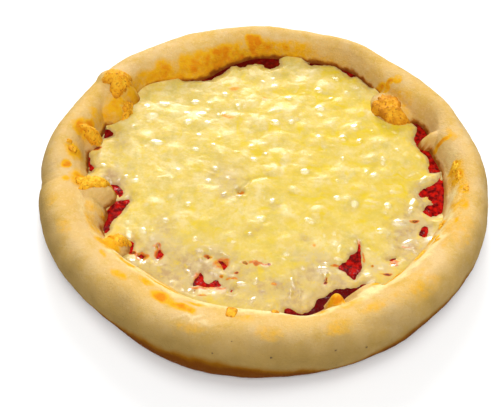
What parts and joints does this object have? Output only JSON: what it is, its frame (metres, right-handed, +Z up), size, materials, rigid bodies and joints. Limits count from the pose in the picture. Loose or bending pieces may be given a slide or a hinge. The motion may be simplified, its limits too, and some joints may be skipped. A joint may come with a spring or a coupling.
{
  "type": "margherita pizza",
  "caption": "Whole uncut margherita pizza with a thick puffy dough rim, tomato sauce and a lumpy blanket of melted cheese.",
  "frame": {"origin": "under the middle of the pizza, on its flat underside", "axes": "+Z up through the pizza, -Y towards its near side, +X to the right as seen from there"},
  "size_m": [0.2796, 0.2808, 0.0308],
  "materials": {
    "baked_dough": "pale baked dough, matt and a little floury, golden along the inner crest and brown under the edge",
    "tomato_sauce": "deep red cooked tomato sauce, wet and glossy, darker where it has dried at the edge",
    "melted_cheese": "pale yellow melted cheese, lumpy, with oily yellow hollows and glossy lump tops",
    "browned_cheese": "golden to brown baked cheese, crumbly, half glossy"
  },
  "bodies": {
    "root": {"crust": "baked_dough", "sauce": "tomato_sauce", "cheese": "melted_cheese", "scrap_back_left": "browned_cheese", "scrap_left_wall": "browned_cheese", "scrap_left_upper": "browned_cheese", "scrap_left": "browned_cheese", "scrap_front_left": "browned_cheese", "scrap_back_right": "browned_cheese"}
  },
  "joints": []
}
